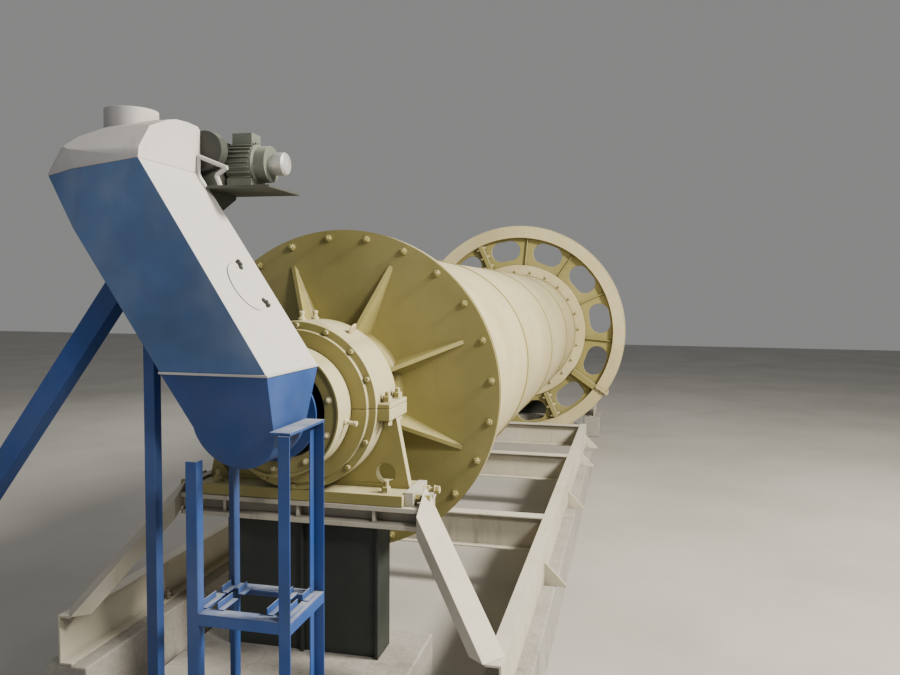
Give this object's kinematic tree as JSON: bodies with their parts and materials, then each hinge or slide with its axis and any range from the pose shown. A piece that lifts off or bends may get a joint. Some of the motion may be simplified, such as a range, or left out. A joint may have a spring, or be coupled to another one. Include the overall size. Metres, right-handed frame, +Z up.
{
  "type": "ball mill",
  "caption": "Horizontal ball mill: a flanged drum on hollow trunnions in split bearings, with a guarded girth gear, base frame, side drive and a leaning feeder.",
  "frame": {"origin": "on the ground straight below the centre of the feed-end main bearing", "axes": "+Y along the drum axis from the feed end to the discharge end, +Z up, +X to the right seen from the feed end"},
  "size_m": [3.742, 9.8835, 3.114],
  "materials": {
    "cream_paint": "satin cream enamel with dust",
    "olive_paint": "satin ochre enamel with dust",
    "frame_paint": "pale enamel, scuffed and dusty",
    "dark_steel": "dark, dusty",
    "concrete": "rough concrete",
    "blue_paint": "blue enamel with dust",
    "dusty_paint": "blue enamel under pale dust",
    "motor_paint": "grey enamel"
  },
  "bodies": {
    "base": {"rail_plinths": "concrete", "near_plinth": "concrete", "far_plinths": "concrete", "rail_left": "frame_paint", "rail_right": "frame_paint", "far_rails": "frame_paint", "cross_beams": "frame_paint", "near_pedestal": "dark_steel", "near_beam": "frame_paint", "near_struts": "frame_paint", "near_bearing_base": "olive_paint", "near_bearing_cap": "olive_paint", "far_pedestal": "dark_steel", "far_beam": "frame_paint", "far_struts": "frame_paint", "far_bearing_base": "olive_paint", "far_bearing_cap": "olive_paint", "gear_guard_upper": "cream_paint", "gear_guard_lower": "cream_paint", "drive_plinth": "concrete", "drive_frame": "frame_paint", "pinion_housing": "cream_paint", "pinion_bearings": "olive_paint", "coupling_guards": "blue_paint", "reducer": "motor_paint", "drive_motor": "motor_paint", "feeder_casing": "blue_paint", "feeder_head": "dusty_paint", "feeder_boot": "blue_paint", "feed_spout": "blue_paint", "feeder_stand": "blue_paint", "stand_shelf": "blue_paint", "feeder_supports": "blue_paint", "feeder_motor_plate": "blue_paint", "feeder_motor": "motor_paint", "belt_guard": "dark_steel"},
    "drum": {"drum_shell": "cream_paint", "near_head": "olive_paint", "far_head": "olive_paint", "near_trunnion": "cream_paint", "far_trunnion": "cream_paint", "near_end_ring": "cream_paint", "far_end_ring": "cream_paint", "girth_gear": "cream_paint", "gear_web": "cream_paint"}
  },
  "joints": [
    {"name": "drum_spin", "type": "hinge", "parent": "base", "child": "drum", "pos_m": [0, 0, 1.583], "axis": [0, 1, 0], "continuous": true}
  ]
}
